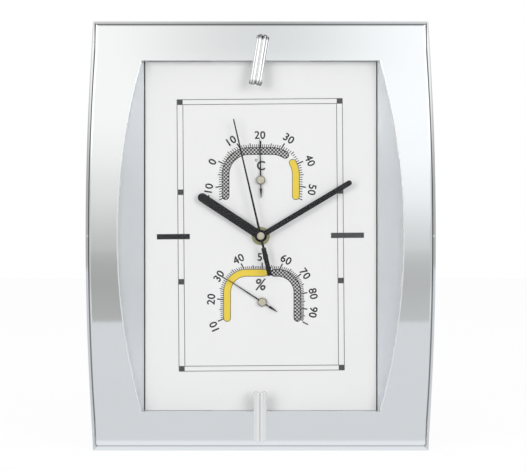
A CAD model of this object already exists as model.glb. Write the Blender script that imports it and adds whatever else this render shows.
"""Looks of the wall clock with weather instruments: print, materials, studio and camera."""
import math

import bpy
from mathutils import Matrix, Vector


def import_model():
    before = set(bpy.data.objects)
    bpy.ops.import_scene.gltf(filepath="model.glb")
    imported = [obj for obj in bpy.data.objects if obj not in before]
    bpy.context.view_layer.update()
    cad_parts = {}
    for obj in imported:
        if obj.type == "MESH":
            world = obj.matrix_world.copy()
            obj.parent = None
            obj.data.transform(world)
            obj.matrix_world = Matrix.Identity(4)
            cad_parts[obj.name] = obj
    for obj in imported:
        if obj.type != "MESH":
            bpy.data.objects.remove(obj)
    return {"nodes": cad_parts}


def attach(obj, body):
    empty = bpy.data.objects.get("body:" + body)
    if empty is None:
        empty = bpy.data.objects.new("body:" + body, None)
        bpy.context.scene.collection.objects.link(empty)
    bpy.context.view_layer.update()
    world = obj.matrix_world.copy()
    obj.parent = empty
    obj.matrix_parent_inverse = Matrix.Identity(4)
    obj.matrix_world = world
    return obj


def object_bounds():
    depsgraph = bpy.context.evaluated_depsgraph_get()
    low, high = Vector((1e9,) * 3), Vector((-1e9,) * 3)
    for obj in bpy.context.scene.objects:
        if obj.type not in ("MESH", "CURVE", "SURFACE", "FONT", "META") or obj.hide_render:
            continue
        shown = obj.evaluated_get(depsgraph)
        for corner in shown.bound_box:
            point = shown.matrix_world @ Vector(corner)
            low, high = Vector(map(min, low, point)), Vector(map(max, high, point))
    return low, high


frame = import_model()
cad_low, cad_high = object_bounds()
nodes = frame["nodes"]

# Sizes of the case, in millimetres, as in part.scad. The drawing's x runs to the right, its y up
# from the dial's centre, and its z away from the wall. A drop is a depth under the front's crown.
CENTRE_Z = -130.0
CASE_W, CASE_H, SIDE_BOW, EDGE_R = 273.0, 339.0, 4.3, 6.0
OPENING_W, OPENING_H, WINDOW_W = 223.0, 275.0, 184.0
CASE_D, END_D, DIAL_Z = 45.0, 33.1, 24.5
BEZEL_DROP, FACET_BASE = 4.35, 3.0
POINTER_Z, SECOND_HAND_Z = 26.1, 32.1
THERMOMETER = (0.0, 44.0)
HYGROMETER = (1.2, -52.0)
CROWN_FALL = CASE_D - END_D
CROWN_R = ((OPENING_H / 2) ** 2 + CROWN_FALL ** 2) / (2 * CROWN_FALL)
CROWN_C = CASE_D - CROWN_R
BOW_R = ((CASE_H / 2) ** 2 + SIDE_BOW ** 2) / (2 * SIDE_BOW)
BOW_X = CASE_W / 2 - BOW_R
END_Y = CASE_H / 2 - EDGE_R


def place(x, y, z):
    """A point of the drawing, in millimetres, as a point of the frame, in metres."""
    return Vector((x, -z, y + CENTRE_Z)) / 1000


def unplace(p):
    return p.x * 1000, p.z * 1000 - CENTRE_Z, -p.y * 1000


def way(degrees):
    """Sine and cosine of an angle: the direction at that bearing, clockwise from the top."""
    return math.sin(math.radians(degrees)), math.cos(math.radians(degrees))


# New objects


def new_mesh(name, points, faces, mat):
    mesh = bpy.data.meshes.new(name)
    mesh.from_pydata([tuple(p) for p in points], [], faces)
    mesh.materials.append(mat)
    return mesh


def new_object(name, data):
    obj = bpy.data.objects.new(name, data)
    bpy.context.scene.collection.objects.link(obj)
    return obj


# Material nodes


def new_material(name):
    mat = bpy.data.materials.new(name)
    mat.use_nodes = True
    nt = mat.node_tree
    return mat, nt, nt.nodes["Principled BSDF"]


def add(nt, kind, **values):
    node = nt.nodes.new(kind)
    for key, value in values.items():
        setattr(node, key, value)
    return node


def object_point(nt):
    return add(nt, "ShaderNodeTexCoord").outputs["Object"]


def split(nt, vector):
    node = add(nt, "ShaderNodeSeparateXYZ")
    nt.links.new(vector, node.inputs[0])
    return node.outputs["X"], node.outputs["Y"], node.outputs["Z"]


def noise(nt, scale, detail=3.0, stretch=None):
    tex = add(nt, "ShaderNodeTexNoise")
    for key, number in (("Scale", scale), ("Detail", detail), ("Roughness", 0.55)):
        tex.inputs[key].default_value = number
    source = object_point(nt)
    if stretch:
        mapping = add(nt, "ShaderNodeMapping")
        mapping.inputs["Scale"].default_value = stretch
        nt.links.new(source, mapping.inputs["Vector"])
        source = mapping.outputs["Vector"]
    nt.links.new(source, tex.inputs["Vector"])
    return tex.outputs["Fac"]


def math_node(nt, operation, *values):
    node = add(nt, "ShaderNodeMath", operation=operation)
    for socket, value in zip(node.inputs, values):
        if isinstance(value, (int, float)):
            socket.default_value = value
        else:
            nt.links.new(value, socket)
    return node.outputs[0]


def times(nt, first, *others):
    for value in others:
        first = math_node(nt, "MULTIPLY", first, value)
    return first


def ranged(nt, value, low, high, start, end, kind="LINEAR"):
    """Runs from start, where the value is low, to end, where it is high, and no further."""
    node = add(nt, "ShaderNodeMapRange", interpolation_type=kind)
    limits = (("From Min", low), ("From Max", high), ("To Min", start), ("To Max", end))
    for key, number in limits:
        node.inputs[key].default_value = number
    nt.links.new(value, node.inputs["Value"])
    return node.outputs["Result"]


def smooth_step(nt, value, low, high, start, end):
    return ranged(nt, value, low, high, start, end, "SMOOTHSTEP")


def spread(nt, value, start, end):
    """A noise, most of which lies between 0.3 and 0.7, drawn out between two numbers."""
    return ranged(nt, value, 0.3, 0.7, start, end)


def mix_colours(nt, factor, first, second):
    mix = add(nt, "ShaderNodeMix", data_type="RGBA")
    nt.links.new(factor, mix.inputs["Factor"])
    for socket, value in ((mix.inputs[6], first), (mix.inputs[7], second)):
        if isinstance(value, tuple):
            socket.default_value = (*value, 1.0)
        else:
            nt.links.new(value, socket)
    return mix.outputs[2]


def mix_shaders(nt, factor, first, second):
    mix = add(nt, "ShaderNodeMixShader")
    for socket, value in zip(mix.inputs, (factor, first, second)):
        nt.links.new(value, socket)
    return mix.outputs[0]


def bump(nt, shader, height, distance):
    node = add(nt, "ShaderNodeBump")
    node.inputs["Distance"].default_value = distance
    nt.links.new(height, node.inputs["Height"])
    nt.links.new(node.outputs["Normal"], shader.inputs["Normal"])


# Materials


def finish_material(name, colour, rough, metallic=0.0, tone=0.03, grain=400.0, rough_span=0.04,
                    relief=0.0, stretch=None, coat=0.0, specular=0.5):
    """A surface whose colour and roughness vary a little, most with a fine relief as well."""
    mat, nt, shader = new_material(name)
    fine = noise(nt, grain, stretch=stretch)
    cloud = noise(nt, 18.0, 2.0)
    darker = tuple(c * (1 - tone) for c in colour)
    lighter = tuple(min(1.0, c * (1 + tone)) for c in colour)
    blend = times(nt, math_node(nt, "ADD", fine, cloud), 0.5)
    base = mix_colours(nt, spread(nt, blend, 0, 1), darker, lighter)
    nt.links.new(base, shader.inputs["Base Color"])
    roughness = spread(nt, fine, rough - rough_span, rough + rough_span)
    nt.links.new(roughness, shader.inputs["Roughness"])
    shader.inputs["Metallic"].default_value = metallic
    shader.inputs["Specular IOR Level"].default_value = specular
    shader.inputs["Coat Weight"].default_value = coat
    shader.inputs["Coat Roughness"].default_value = 0.06
    if relief:
        bump(nt, shader, fine, relief)
    return mat


def bezel_material():
    """Satin silver, a little paler towards the bezel's upper and lower ends."""
    mat = finish_material("satin_silver", (0.572, 0.599, 0.620), 0.44, 0.5, tone=0.02, grain=1500,
                          relief=0.00001)
    nt = mat.node_tree
    base = nt.nodes["Principled BSDF"].inputs["Base Color"]
    satin = base.links[0].from_socket
    height = math_node(nt, "ADD", split(nt, object_point(nt))[2], -CENTRE_Z / 1000)
    from_middle = math_node(nt, "ABSOLUTE", height)
    ends = smooth_step(nt, from_middle, 0.035, 0.110, 0.0, 0.8)
    nt.links.new(mix_colours(nt, ends, satin, (0.67, 0.70, 0.725)), base)
    return mat


def battery_material():
    """A plain two-coloured sleeve with bare steel at both ends of the cell."""
    mat, nt, shader = new_material("battery_wrap")
    along = split(nt, object_point(nt))[0]
    bare = math_node(nt, "GREATER_THAN", math_node(nt, "ABSOLUTE", along), 0.0236)
    band = math_node(nt, "GREATER_THAN", along, 0.0125)
    sleeve = mix_colours(nt, band, (0.015, 0.05, 0.16), (0.30, 0.31, 0.33))
    base = mix_colours(nt, bare, sleeve, (0.60, 0.60, 0.60))
    nt.links.new(base, shader.inputs["Base Color"])
    nt.links.new(bare, shader.inputs["Metallic"])
    nt.links.new(spread(nt, noise(nt, 900.0), 0.24, 0.34), shader.inputs["Roughness"])
    return mat


def lens_material():
    """Clear glass that lets the lamps' and the paper's light straight through."""
    mat, nt, shader = new_material("clear_lens")
    shader.inputs["Base Color"].default_value = (1.0, 1.0, 1.0, 1.0)
    shader.inputs["Roughness"].default_value = 0.015
    shader.inputs["IOR"].default_value = 1.18
    shader.inputs["Transmission Weight"].default_value = 1.0
    clear = add(nt, "ShaderNodeBsdfTransparent")
    ray = add(nt, "ShaderNodeLightPath").outputs
    passing = math_node(nt, "MAXIMUM", ray["Is Shadow Ray"], ray["Is Diffuse Ray"])
    surface = mix_shaders(nt, passing, shader.outputs[0], clear.outputs[0])
    nt.links.new(surface, nt.nodes["Material Output"].inputs["Surface"])
    return mat


def chrome_material():
    """Bright chrome, dulled in streaks at the upper clip's top and a little at its lower end."""
    mat, nt, shader = new_material("chrome_plating")
    x, _, z = split(nt, object_point(nt))
    clip_z, lean_cos, lean_sin = 0.0098, 0.991, 0.134
    rise = times(nt, math_node(nt, "SUBTRACT", z, clip_z), lean_cos)
    along = math_node(nt, "ADD", rise, times(nt, x, lean_sin))
    streaks = ranged(nt, noise(nt, 420.0, 2.0, stretch=(2.5, 1, 0.8)), 0.40, 0.56, 0.35, 1.0)
    upper = smooth_step(nt, along, 0.0135, 0.0160, 0.0, 1.0)
    lower = smooth_step(nt, along, -0.0200, -0.0180, 0.8, 0.0)
    worn = times(nt, math_node(nt, "MAXIMUM", upper, lower), streaks)
    base = mix_colours(nt, worn, (0.93, 0.93, 0.925), (0.10, 0.10, 0.10))
    nt.links.new(base, shader.inputs["Base Color"])
    nt.links.new(spread(nt, noise(nt, 600.0), 0.06, 0.10), shader.inputs["Roughness"])
    shader.inputs["Metallic"].default_value = 1.0
    return mat


def halftone_material():
    """Dark grey print of crossed fine dots, as on the cold and the wet side of the scales."""
    mat, nt, shader = new_material("print_halftone")
    x, _, z = split(nt, object_point(nt))
    period = 0.0028
    waves = [math_node(nt, "SINE", times(nt, axis, math.tau / period)) for axis in (x, z)]
    dots = ranged(nt, times(nt, *waves), -0.15, 0.35, 0, 1)
    base = mix_colours(nt, dots, (0.016, 0.016, 0.017), (0.62, 0.62, 0.61))
    nt.links.new(base, shader.inputs["Base Color"])
    shader.inputs["Specular IOR Level"].default_value = 0.2
    shader.inputs["Roughness"].default_value = 0.55
    return mat


def ink_material(name, colour, rough=0.5, tone=0.05, specular=0.2):
    return finish_material(name, colour, rough, tone=tone, grain=1500, specular=specular)


silver = finish_material("silver_plastic", (0.838, 0.85, 0.843), 0.06, 0.96, tone=0.012,
                         grain=900, rough_span=0.012, relief=0.000003, coat=0.15)
lip_silver = finish_material("lip_silver", (0.88, 0.89, 0.895), 0.2, 0.68, tone=0.01, grain=900,
                             relief=0.000003)
soft_chrome = finish_material("chrome_worn", (0.95, 0.95, 0.93), 0.18, 0.75, tone=0.01, grain=600,
                              rough_span=0.02)
paper = finish_material("dial_card", (0.852, 0.852, 0.85), 0.6, tone=0.008, grain=1800,
                        relief=0.00001)
white_plastic = finish_material("white_plastic", (0.82, 0.82, 0.80), 0.42, tone=0.015, grain=700,
                                relief=0.00001)
grey_plastic = finish_material("cover_plastic", (0.30, 0.31, 0.32), 0.55, tone=0.05, grain=1400,
                               relief=0.00005)
black_plastic = finish_material("movement_plastic", (0.028, 0.028, 0.03), 0.42, tone=0.12,
                                grain=1200, relief=0.00003)
black_paint = finish_material("hand_paint", (0.013, 0.013, 0.015), 0.6, tone=0.10, grain=1600,
                              specular=0.15)
brass = finish_material("brass", (0.62, 0.56, 0.27), 0.28, 1.0, tone=0.05, grain=900,
                        stretch=(1, 6, 1), relief=0.000005)
dull_brass = finish_material("dull_brass", (0.30, 0.295, 0.165), 0.34, 0.9, tone=0.06, grain=900,
                             relief=0.000006)
champagne = finish_material("cap_metal", (0.47, 0.445, 0.345), 0.36, 0.5, grain=1200,
                            relief=0.000006)
steel = finish_material("zinc_steel", (0.58, 0.59, 0.60), 0.30, 1.0, tone=0.05, grain=1000,
                        relief=0.000006)
copper = finish_material("enamelled_wire", (0.52, 0.20, 0.08), 0.30, 0.7, tone=0.10, grain=3000,
                         stretch=(1, 0.05, 0.05), relief=0.00003)
bimetal = finish_material("bimetal_strip", (0.60, 0.57, 0.50), 0.35, 1.0, tone=0.04, grain=900)
treated = finish_material("treated_strip", (0.56, 0.36, 0.18), 0.45, 0.5, tone=0.06, grain=900)
laminate = finish_material("laminate", (0.03, 0.16, 0.07), 0.35, tone=0.12, grain=1500,
                           relief=0.00002)
rubber = finish_material("rubber", (0.02, 0.02, 0.02), 0.7, tone=0.1, grain=1500, relief=0.00003)
print_black = ink_material("print_black", (0.016, 0.016, 0.019))
print_dark = ink_material("print_dark", (0.07, 0.07, 0.073))
print_brown = ink_material("print_brown", (0.07, 0.06, 0.055))
print_grey = ink_material("print_grey", (0.20, 0.20, 0.205), 0.55, 0.03)
print_pale = ink_material("print_pale", (0.42, 0.43, 0.43), 0.55, 0.03)
print_yellow = ink_material("print_yellow", (0.82, 0.62, 0.07), tone=0.03, specular=0.3)
print_halftone = halftone_material()

dressing = {
    silver: ["front_frame"],
    bezel_material(): ["inner_bezel"],
    chrome_material(): ["upper_clip"],
    soft_chrome: ["lower_clip"],
    lens_material(): ["lens"],
    paper: ["dial_card"],
    white_plastic: ["dial_board", "thermometer_cup", "hygrometer_cup", "rotor_pinion",
                    "intermediate_wheel", "third_wheel", "minute_wheel", "hour_wheel",
                    "setting_knob", "coil_bobbin"],
    grey_plastic: ["back_cover"],
    black_plastic: ["movement_front", "movement_case", "control_chip"],
    black_paint: ["hour_hand", "minute_hand", "second_hand", "thermometer_pointer",
                  "hygrometer_pointer"],
    dull_brass: ["brass_washer", "brass_nut"],
    brass: ["centre_wheel", "positive_contact", "negative_contact", "thermometer_arbor",
            "hygrometer_arbor"],
    champagne: ["second_hand_cap", "thermometer_cap", "hygrometer_cap"],
    steel: ["clip_push_nuts", "board_screws", "cover_screws", "cup_screws", "second_wheel",
            "stator_plate", "coil_core", "rotor_magnet", "quartz_can"],
    copper: ["coil_winding"],
    bimetal: ["thermometer_coil"],
    treated: ["hygrometer_coil"],
    laminate: ["circuit_board"],
    battery_material(): ["battery"],
    rubber: ["rubber_washer"],
}
for mat, names in dressing.items():
    for name in names:
        mesh = nodes[name].data
        mesh.materials.clear()
        mesh.materials.append(mat)


# Shading: round faces are smooth, and the frame, the bezel and the lens take the normals of their
# true curves


def smooth(obj, angle=28.0):
    obj.data.shade_smooth()
    obj.data.set_sharp_from_angle(angle=math.radians(angle))


def soften(obj, width):
    """A small rounding on a thin piece's edges, kept inside its own size."""
    mod = obj.modifiers.new("edge", "BEVEL")
    mod.width = width / 1000
    mod.segments = 2
    mod.limit_method = "ANGLE"
    mod.angle_limit = math.radians(40)
    mod.harden_normals = True


def crown_height(y, drop=0.0):
    return CROWN_C + math.sqrt((CROWN_R - drop) ** 2 - y * y)


def side_line(y):
    """How far from the middle the centre of the side's rounded edge lies at a height."""
    return BOW_X + math.sqrt(max(0.0, (BOW_R - EDGE_R) ** 2 - y * y))


def crown_normal(y, z):
    return Vector((0.0, y, z - CROWN_C)).normalized()


def edge_normal(x, y, z, across):
    """The normal of the rounded edge: round the end's straight line, or round the side's bow."""
    if across < 0.5:
        line_y = math.copysign(END_Y, y)
        return Vector((0.0, y - line_y, z - crown_height(END_Y, EDGE_R))).normalized()
    side = math.copysign(1.0, x)
    t = max(-END_Y, min(END_Y, y))
    for _ in range(4):
        centre = Vector((side * side_line(t), t, crown_height(t, EDGE_R)))
        tangent = Vector((-side * t / (BOW_R - EDGE_R), 1.0, -t / (CROWN_R - EDGE_R)))
        t += (Vector((x, y, z)) - centre).dot(tangent) / tangent.length_squared
        t = max(-END_Y, min(END_Y, t))
    gap = Vector((x, y, z)) - Vector((side * side_line(t), t, crown_height(t, EDGE_R)))
    if abs(t) >= END_Y:
        gap.y = 0.0
    return gap.normalized()


def set_true_normals(obj, rounded):
    """Faces that lie nearly along the true curve take its normals. The others keep their own."""
    nearly = math.cos(math.radians(9.5 if rounded else 2.5))
    mesh = obj.data
    mesh.shade_smooth()
    mesh.set_sharp_from_angle(angle=math.radians(24))
    mesh.update()
    normals = [Vector(corner.vector) for corner in mesh.corner_normals]
    for poly in mesh.polygons:
        flat = Vector((poly.normal.x, poly.normal.z, -poly.normal.y))
        across = abs(flat.x) / max(1e-6, math.hypot(flat.x, flat.y))
        for corner in poly.loop_indices:
            x, y, z = unplace(mesh.vertices[mesh.loops[corner].vertex_index].co)
            choices = [crown_normal(y, z), -crown_normal(y, z)]
            near_edge = abs(x) > CASE_W / 2 - 22 or abs(y) > END_Y - 1
            if rounded and near_edge and z > crown_height(y, EDGE_R) - 0.3:
                choices.append(edge_normal(x, y, z, across))
            best = max(choices, key=flat.dot)
            if flat.dot(best) > nearly:
                normals[corner] = Vector((best.x, -best.z, best.y))
    mesh.normals_split_custom_set(normals)


for name, node in nodes.items():
    if name not in ("front_frame", "lens", "inner_bezel"):
        smooth(node)
set_true_normals(nodes["front_frame"], True)
set_true_normals(nodes["lens"], False)
set_true_normals(nodes["inner_bezel"], False)
for name, width in (("hour_hand", 0.14), ("minute_hand", 0.14), ("second_hand", 0.14),
                    ("thermometer_pointer", 0.08), ("hygrometer_pointer", 0.08),
                    ("brass_nut", 0.25)):
    soften(nodes[name], width)


# Print on the dial card: thin raised ink, drawn in millimetres about the dial's centre. The photo's
# bars, squares and frame lines stand a little turned, so they are turned here.

PRINT_TURN = math.radians(0.45)
INK_SINK, LINE_H, MARK_H, BAND_H = 0.02, 0.03, 0.04, 0.045


def turned(u, v):
    c, s = math.cos(PRINT_TURN), math.sin(PRINT_TURN)
    return u * c - v * s, u * s + v * c


def side(point, offset):
    """A point beside a line's point: positive is to the left of the way the line runs."""
    u, v, heading = point
    s, c = way(heading)
    return u - offset * c, v + offset * s


class Ink:
    """Closed thin prisms of one ink, gathered into one mesh."""

    def __init__(self, name, mat, height):
        self.name, self.mat, self.height = name, mat, height
        self.points, self.faces = [], []

    def shape(self, outline, turn=True):
        """outline is a simple polygon, counter-clockwise."""
        first, n = len(self.points), len(outline)
        for z in (DIAL_Z - INK_SINK, DIAL_Z + self.height):
            for u, v in outline:
                x, y = turned(u, v) if turn else (u, v)
                self.points.append(place(x, y, z))
        self.faces.append([first + n + i for i in range(n)])
        self.faces.append([first + i for i in reversed(range(n))])
        for i in range(n):
            j = (i + 1) % n
            self.faces.append([first + i, first + j, first + n + j, first + n + i])

    def bar(self, u0, v0, u1, v1, turn=True):
        self.shape([(u0, v0), (u1, v0), (u1, v1), (u0, v1)], turn)

    def stroke(self, a, b, width):
        du, dv = b[0] - a[0], b[1] - a[1]
        length = math.hypot(du, dv)
        nu, nv = -dv / length * width / 2, du / length * width / 2
        self.shape([(a[0] - nu, a[1] - nv), (b[0] - nu, b[1] - nv),
                    (b[0] + nu, b[1] + nv), (a[0] + nu, a[1] + nv)], False)

    def ribbon(self, line, half):
        """A band along a line of (u, v, heading) points, with round ends, as a run of quads."""
        cap_steps = 8
        for a, b in zip(line, line[1:]):
            self.shape([side(a, -half), side(b, -half), side(b, half), side(a, half)], False)
        for (u, v, heading), start in ((line[0], 90), (line[-1], -90)):
            arc = [way(heading + start + 180 * i / cap_steps) for i in range(cap_steps + 1)]
            self.shape([(u + half * s, v + half * c) for s, c in reversed(arc)], False)

    def build(self):
        mesh = new_mesh(self.name, self.points, self.faces, self.mat)
        mesh.update()
        obj = new_object(self.name, mesh)
        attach(obj, "case")


lines = Ink("dial_lines", print_grey, LINE_H)
marks = Ink("dial_marks", print_dark, MARK_H)
ticks = Ink("scale_ticks", print_black, MARK_H)
borders = Ink("scale_borders", print_black, LINE_H)
thin_borders = Ink("scale_borders_thin", print_brown, LINE_H)
grey_bands = Ink("scale_bands_grey", print_halftone, BAND_H)
yellow_bands = Ink("scale_bands_yellow", print_yellow, BAND_H)
ink_left = Ink("bar_nine", print_black, MARK_H)
edge_sides = Ink("dial_edge_sides", print_brown, LINE_H)
edge_ends = Ink("dial_edge_ends", print_pale, LINE_H)

OUTER_W, OUTER_H, INNER_W, INNER_H, PANEL_Y = 65.2, 107.0, 60.6, 103.1, 0.9
LINE_HALF, SQUARE_HALF, BAR_HALF = 0.3, 2.15, 2.1
for w, h in ((OUTER_W, OUTER_H), (INNER_W, INNER_H)):
    for s in (-1, 1):
        lines.bar(s * w - LINE_HALF, PANEL_Y - h, s * w + LINE_HALF, PANEL_Y + h)
        lines.bar(-w, PANEL_Y + s * h - LINE_HALF, w, PANEL_Y + s * h + LINE_HALF)
square_u, square_v = (OUTER_W + INNER_W) / 2, (OUTER_H + INNER_H) / 2
for s in (-1, 1):
    for v in (PANEL_Y - square_v, -35.6, 35.0, PANEL_Y + square_v):
        marks.bar(s * square_u - SQUARE_HALF, v - SQUARE_HALF,
                  s * square_u + SQUARE_HALF, v + SQUARE_HALF)
ink_left.bar(-81.9, -BAR_HALF, -55.9, BAR_HALF)
marks.bar(55.4, -BAR_HALF, 81.4, BAR_HALF)
for s in (-1, 1):
    edge_sides.bar(s * 91.5 - 0.5, -138, s * 91.5 + 0.5, 138, False)
    edge_ends.bar(-91, s * 137.8 - 0.6, 91, s * 137.8 + 0.6, False)

ARCH_W, ARCH_TOP, ARCH_FOOT, BAND = 30.7, 26.0, -15.6, 6.0
SHOULDER = {THERMOMETER: 21.6, HYGROMETER: 18.4}
TURN_STEPS = 24


def arch(centre, inset, step=0.6):
    """Points and headings of a round-shouldered arch, from its left foot over the top."""
    w, top, r = ARCH_W - inset, ARCH_TOP - inset, SHOULDER[centre] - inset
    leg = top - r - ARCH_FOOT - BAND / 2
    runs = [("line", -w, ARCH_FOOT + BAND / 2, 0.0, leg),
            ("turn", -w + r, top - r, 0.0, 90.0),
            ("line", -w + r, top, 90.0, 2 * (w - r)),
            ("turn", w - r, top - r, 90.0, 180.0),
            ("line", w, top - r, 180.0, leg)]
    out = []
    for kind, u, v, heading, size in runs:
        if kind == "line":
            n = max(2, round(size / step))
            s, c = way(heading)
            out += [(u + size * i / n * s, v + size * i / n * c, heading) for i in range(n)]
        else:
            for i in range(TURN_STEPS):
                a = heading + (size - heading) * i / TURN_STEPS
                s, c = way(a)
                out.append((u - r * c, v + r * s, a))
    out.append((w, ARCH_FOOT + BAND / 2, 180.0))
    return [(centre[0] + u, centre[1] + v, a) for u, v, a in out]


def bearing(centre, point):
    """Angle of a point round the pivot, clockwise from the top."""
    return math.degrees(math.atan2(point[0] - centre[0], point[1] - centre[1]))


def reach(centre, angle):
    """Distance from the pivot to the arch's outer edge along an angle."""
    path = arch(centre, 0.0, 0.3)
    below = BAND / 2 + 2
    path = [(path[0][0], path[0][1] - below)] + path + [(path[-1][0], path[-1][1] - below)]
    best = min(path, key=lambda p: abs((bearing(centre, p) - angle + 180) % 360 - 180))
    return math.hypot(best[0] - centre[0], best[1] - centre[1])


def band(centre, low, high, border, fill, border_w):
    path = [p for p in arch(centre, BAND / 2) if low <= bearing(centre, p) <= high]
    border.ribbon(path, BAND / 2)
    fill.ribbon(path, BAND / 2 - border_w)


band(THERMOMETER, -180, 44.5, borders, grey_bands, 0.6)
band(THERMOMETER, 60, 180, thin_borders, yellow_bands, 0.5)
band(HYGROMETER, -180, 4.5, thin_borders, yellow_bands, 0.5)
band(HYGROMETER, 21.0, 180, borders, grey_bands, 0.6)


def temperature_angle(t):
    return 3.3 * (t - 20)


def humidity_angle(h):
    u = (h - 50) / 10
    return 28.5 * u - 0.45 * u * u - 0.12 * u ** 3


def scale_ticks(centre, first, last, angle_of):
    for value in range(first, last + 1):
        if value % 10 == 0:
            length, width = 4.9, 1.0
        elif value % 5 == 0:
            length, width = 3.1, 0.75
        else:
            length, width = 2.2, 0.62
        angle = angle_of(value)
        start = reach(centre, angle) + 0.05
        s, c = way(angle)
        ends = [(centre[0] + s * d, centre[1] + c * d) for d in (start, start + length)]
        ticks.stroke(*ends, width)


scale_ticks(THERMOMETER, -15, 55, temperature_angle)
scale_ticks(HYGROMETER, 10, 100, humidity_angle)
for ink in (lines, marks, ticks, borders, thin_borders, grey_bands, yellow_bands, ink_left,
            edge_sides, edge_ends):
    ink.build()


# Numbers and signs


def letters(name, entries, mat):
    """Signs as one mesh of raised ink; each entry is text, place, turn, size, slant and weight.

    Each sign is laid down three times, a weight apart, so its strokes come out that much bolder.
    """
    copies, raised, copy_rise = 3, 0.01, 0.006
    points, faces = [], []
    for text, (u, v), angle, size, shear, weight in entries:
        curve = bpy.data.curves.new(name, "FONT")
        curve.body = text
        curve.size = size / 1000
        curve.extrude = 0.00002
        curve.shear = shear
        curve.space_character = 1.05
        holder = new_object(name, curve)
        bpy.context.view_layer.update()
        drawn = holder.evaluated_get(bpy.context.evaluated_depsgraph_get())
        mesh = bpy.data.meshes.new_from_object(drawn)
        bpy.data.objects.remove(holder)
        across = [p.co.x for p in mesh.vertices]
        up = [p.co.y for p in mesh.vertices]
        mid_x, mid_y = (min(across) + max(across)) / 2, (min(up) + max(up)) / 2
        s, c = way(-angle)
        for k in range(copies):
            turn = math.tau * k / copies + 0.5
            first = len(points)
            for p in mesh.vertices:
                a = (p.co.x - mid_x) * 1000 + weight * math.cos(turn)
                b = (p.co.y - mid_y) * 1000 + weight * math.sin(turn)
                z = DIAL_Z + raised + copy_rise * k + p.co.z * 1000
                points.append(place(u + a * c - b * s, v + a * s + b * c, z))
            faces += [[first + i for i in poly.vertices] for poly in mesh.polygons]
    obj = new_object(name, new_mesh(name, points, faces, mat))
    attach(obj, "case")


PIXEL, PHOTO_CENTRE = 0.789, (260.3, 236.4)


def at_photo(px, py):
    """A place on the dial read off the picture, in millimetres from the dial's centre."""
    return (px - PHOTO_CENTRE[0]) * PIXEL, (PHOTO_CENTRE[1] - py) * PIXEL


NUMBER_SIZE, NUMBER_WEIGHT, STEEPEST = 8.5, 0.22, -80
temperature_places = {
    -10: (207.9, 191.2), 0: (212, 162.3), 10: (231, 141), 20: (259.5, 135.5), 30: (288.4, 139),
    40: (309.6, 161), 50: (311.7, 190.2),
}
humidity_places = {
    10: (213.6, 326.7), 20: (210.7, 299.6), 30: (218.5, 276.3), 40: (238, 259.4),
    50: (262.4, 257.3), 60: (285.7, 260), 70: (304.7, 274), 80: (312.8, 294), 90: (312.8, 312.6),
}
numbers = [(str(t), at_photo(*p), max(STEEPEST, temperature_angle(t)), NUMBER_SIZE, 0.0,
            NUMBER_WEIGHT) for t, p in temperature_places.items()]
numbers += [(str(h), at_photo(*p), humidity_angle(h), NUMBER_SIZE, 0.0,
             NUMBER_WEIGHT) for h, p in humidity_places.items()]
letters("scale_numbers", numbers, print_black)
letters("scale_units", [("C", at_photo(260.6, 166.0), 0.0, 10.0, 0.0, 0.3),
                        ("°", at_photo(255.8, 160.6), 0.0, 7.5, 0.0, 0.05),
                        ("%", at_photo(260.3, 284.8), 0.0, 12.6, 0.15, 0.3)], print_dark)


# Dark rings under the caps of the pointers and the second hand


def flange(name, body, centre, z, inner, outer, height):
    steps = 48
    profile = [(inner, 0.0), (outer, 0.0), (outer, height * 0.6),
               (outer - height * 0.4, height), (inner, height)]
    n = len(profile)
    points, faces = [], []
    for i in range(steps):
        a = math.tau * i / steps
        j = (i + 1) % steps
        points += [place(centre[0] + r * math.cos(a), centre[1] + r * math.sin(a), z + h)
                   for r, h in profile]
        for k in range(n):
            m = (k + 1) % n
            faces.append([i * n + k, j * n + k, j * n + m, i * n + m])
    obj = new_object(name, new_mesh(name, points, faces, black_paint))
    smooth(obj, 30)
    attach(obj, body)


flange("thermometer_flange", "thermometer_needle", THERMOMETER, POINTER_Z + 0.1, 2.2, 3.45, 0.55)
flange("hygrometer_flange", "hygrometer_needle", HYGROMETER, POINTER_Z + 0.1, 2.2, 3.45, 0.55)
flange("second_flange", "second_works", (0.0, 0.0), SECOND_HAND_Z + 0.1, 1.8, 3.3, 0.6)


# The frame's lip at the sides of the opening: a polished edge that rolls down towards the lens


def opening_x(y):
    """Half the opening's width at a height: where the side facet meets the lens's cylinder."""
    half_w, half_h, facet_z = OPENING_W / 2, OPENING_H / 2, DIAL_Z + FACET_BASE
    slope = (crown_height(0, BEZEL_DROP) - facet_z) / (half_w - WINDOW_W / 2)
    sag = half_w - WINDOW_W / 2 - (crown_height(half_h, BEZEL_DROP) - facet_z) / slope
    r = (half_h ** 2 + sag ** 2) / (2 * sag)
    return half_w - r + math.sqrt(r * r - y * y)


def opening_lip():
    start, outer, roll_r, bottom, sink = 0.3, 0.5, 2.0, -1.6, 0.02
    rows, half_length = 96, 137.4
    profile = [(outer, -0.6), (start, 0.0)]
    for a in range(4, 33, 4):
        s, c = way(a)
        profile.append((start - roll_r * s, -roll_r * (1 - c)))
    profile += [(profile[-1][0], bottom), (outer, bottom)]
    n = len(profile)
    points, faces = [], []
    for s in (-1, 1):
        first = len(points)
        for i in range(rows + 1):
            y = half_length * (2 * i / rows - 1)
            points += [place(s * (opening_x(y) + dx), y, crown_height(y) - sink + dz)
                       for dx, dz in profile]
        for i in range(rows):
            for k in range(n):
                a, b = first + i * n + k, first + i * n + (k + 1) % n
                quad = [a, b, b + n, a + n]
                faces.append(quad if s < 0 else quad[::-1])
        low_end, high_end = ([first + row * n + k for k in range(n)] for row in (0, rows))
        faces += [low_end[::-1], high_end] if s < 0 else [low_end, high_end[::-1]]
    obj = new_object("opening_lip", new_mesh("opening_lip", points, faces, lip_silver))
    smooth(obj, 40)
    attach(obj, "case")


opening_lip()


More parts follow.
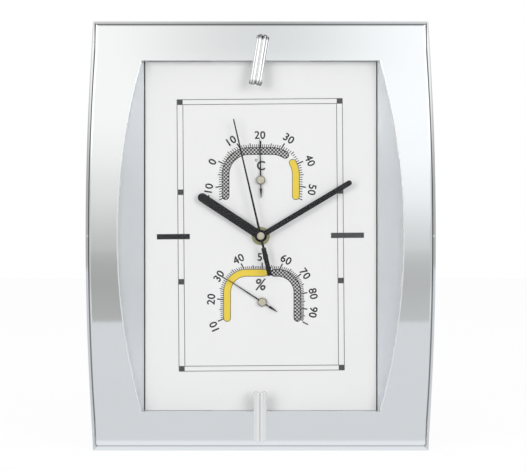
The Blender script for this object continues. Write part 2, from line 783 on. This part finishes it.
# Studio: a pale floor that ends in front of the clock, a pale room, and two soft lamps. Camera and
# transmission rays see them white, and glossy rays see the room and the floor drawn below.

# Brightness of the room against the direction's Z. The ramp's colours stay under 1, so they are
# divided by ROOM_TOP and multiplied again.
ROOM_LEVELS = [(-0.30, 0.60), (-0.20, 0.52), (-0.12, 0.475), (-0.075, 0.505), (-0.0405, 0.58),
               (-0.0370, 0.645), (0.0, 0.70), (0.095, 0.925), (0.20, 1.075), (0.30, 1.125),
               (0.52, 1.14), (0.66, 1.10), (0.70, 0.10), (0.74, 0.10), (0.78, 1.05), (1.0, 0.95)]
ROOM_TOP = 1.2
ROOM_DARK, FLOOR_DARK = 0.10, 0.18
# A mix factor can't pass 1, so the floor's is divided by this, and its colour is that much brighter
FOOT_TOP = 1.6
# Where the floor's ring starts from, in metres: beside the case and before it
HALF_CASE, CASE_FRONT = 0.132, -0.035


def room_light(nt):
    """What glossy surfaces see: bright above, dim at eye level, and darker along a ring."""
    x, y, z = split(nt, add(nt, "ShaderNodeTexCoord").outputs["Generated"])
    ahead = times(nt, y, -1.0)
    sideways = math_node(nt, "ABSOLUTE", x)
    ramp = add(nt, "ShaderNodeValToRGB")
    stops = ramp.color_ramp.elements
    while len(stops) < len(ROOM_LEVELS):
        stops.new(0.5)
    for stop, (height, level) in zip(stops, ROOM_LEVELS):
        stop.position = (height + 1) / 2
        stop.color = (level / ROOM_TOP, level / ROOM_TOP, level / ROOM_TOP, 1.0)
    nt.links.new(ranged(nt, z, -1, 1, 0, 1), ramp.inputs[0])
    level = times(nt, ramp.outputs[0], ROOM_TOP)

    # Darker to the left and lighter to the right, and a dim spot above the middle
    to_right = smooth_step(nt, x, -0.12, 0.12, -1.0, 1.0)
    lean = times(nt, to_right, smooth_step(nt, z, 0.10, 0.30, 0.10, 0.03))
    spot = times(nt, smooth_step(nt, z, 0.35, 0.48, 0.0, 1.0),
                 smooth_step(nt, sideways, 0.0, 0.11, 0.27, 0.0))
    level = times(nt, level, math_node(nt, "ADD", 1.0, lean), math_node(nt, "SUBTRACT", 1.0, spot))

    # Far to the sides the room has a level of its own
    sides = smooth_step(nt, sideways, 0.18, 0.34, 0.0, 1.0)
    side_level = math_node(nt, "MAXIMUM", smooth_step(nt, z, 0.08, 0.30, 0.66, 1.5),
                           smooth_step(nt, z, -0.30, -0.08, 1.25, 0.66))
    level = math_node(nt, "ADD", times(nt, level, math_node(nt, "SUBTRACT", 1.0, sides)),
                      times(nt, sides, side_level))

    # The ring lies off to every side and draws the dark line of the rounded edges
    ring = math_node(nt, "MAXIMUM", smooth_step(nt, ahead, 0.46, 0.62, ROOM_DARK, 1.0),
                     smooth_step(nt, ahead, 0.10, 0.24, 0.75, ROOM_DARK))
    tint = mix_colours(nt, smooth_step(nt, x, -0.12, 0.12, 0.0, 1.0),
                       (0.985, 1.0, 0.99), (0.98, 0.995, 1.025))
    return times(nt, level, ring), tint


def world():
    scene_world = bpy.data.worlds.new("studio")
    scene_world.use_nodes = True
    bpy.context.scene.world = scene_world
    nt = scene_world.node_tree
    nt.nodes.clear()
    seen, glossy, lit = (add(nt, "ShaderNodeBackground") for _ in range(3))
    seen.inputs["Color"].default_value = (1.0, 1.0, 1.0, 1.0)
    lit.inputs["Color"].default_value = (0.53, 0.53, 0.535, 1.0)
    level, tint = room_light(nt)
    nt.links.new(tint, glossy.inputs["Color"])
    nt.links.new(level, glossy.inputs["Strength"])
    ray = add(nt, "ShaderNodeLightPath").outputs
    room = mix_shaders(nt, ray["Is Glossy Ray"], lit.outputs[0], glossy.outputs[0])
    clear = math_node(nt, "MAXIMUM", ray["Is Camera Ray"], ray["Is Transmission Ray"])
    out = add(nt, "ShaderNodeOutputWorld")
    nt.links.new(mix_shaders(nt, clear, room, seen.outputs[0]), out.inputs["Surface"])


def floor_shine(nt):
    """The floor in glossy rays: the room's dark ring goes on in it, with lines at the foot."""
    x, ahead, _ = split(nt, object_point(nt))
    off = math_node(nt, "ABSOLUTE", x)
    before = math_node(nt, "SUBTRACT", CASE_FRONT, ahead)
    beside = math_node(nt, "MAXIMUM", math_node(nt, "SUBTRACT", off, HALF_CASE), 0.002)
    ratio = math_node(nt, "DIVIDE", before, beside)
    ring = math_node(nt, "MAXIMUM", smooth_step(nt, ratio, 0.55, 0.85, FLOOR_DARK, 1.0),
                     smooth_step(nt, ratio, 0.06, 0.22, 0.75, FLOOR_DARK))
    ring = math_node(nt, "MAXIMUM", ring, smooth_step(nt, off, 0.1325, 0.1365, 1.0, 0.0))
    foot = times(nt, smooth_step(nt, ahead, -0.047, -0.041, 1.0, 1.25),
                 smooth_step(nt, ahead, -0.0380, -0.0360, 1.0, 0.55),
                 smooth_step(nt, ahead, -0.0325, -0.0305, 1.0, 1.8))
    return mix_colours(nt, times(nt, ring, foot, 1 / FOOT_TOP),
                       (0.0, 0.0, 0.0), (1.208, 1.248, 1.312))


def floor():
    z = cad_low.z
    mat, nt, shader = new_material("floor")
    shader.inputs["Roughness"].default_value = 0.9
    shader.inputs["Specular IOR Level"].default_value = 0.1
    tone = mix_colours(nt, spread(nt, noise(nt, 6.0), 0, 1), (0.82, 0.82, 0.82), (0.85, 0.85, 0.85))
    nt.links.new(tone, shader.inputs["Base Color"])
    ray = add(nt, "ShaderNodeLightPath").outputs
    glow = add(nt, "ShaderNodeEmission")
    colour = mix_colours(nt, ray["Is Camera Ray"], floor_shine(nt), (1.11, 1.11, 1.11))
    nt.links.new(colour, glow.inputs["Color"])
    share = math_node(nt, "ADD", times(nt, ray["Is Camera Ray"], 0.80),
                      times(nt, ray["Is Glossy Ray"], 0.90))
    surface = mix_shaders(nt, share, shader.outputs[0], glow.outputs[0])
    nt.links.new(surface, nt.nodes["Material Output"].inputs["Surface"])
    corners = [(-3.0, -0.50, z), (3.0, -0.50, z), (3.0, 5.0, z), (-3.0, 5.0, z)]
    obj = new_object("floor", new_mesh("floor", corners, [(0, 1, 2, 3)], mat))


def lamp(name, x):
    place_m, aim_m = Vector((x, -2.2, 0.35)), Vector((0, 0, -0.13))
    data = bpy.data.lights.new(name, "AREA")
    data.shape = "RECTANGLE"
    data.size = data.size_y = 1.2
    data.energy = 21
    obj = new_object(name, data)
    obj.location = place_m
    obj.rotation_euler = (aim_m - place_m).to_track_quat("-Z", "Y").to_euler()
    obj.visible_glossy = False


world()
floor()
lamp("softbox_left", -1.5)
lamp("softbox_right", 1.5)

camera = new_object("camera", bpy.data.cameras.new("camera"))
camera.data.lens = 106.3
camera.data.sensor_width = 36.0
camera.location = (0.0018, -1.2495, CENTRE_Z / 1000)
camera.rotation_euler = (math.radians(90), 0, 0)
bpy.context.scene.camera = camera
bpy.context.scene.view_settings.view_transform = "Standard"
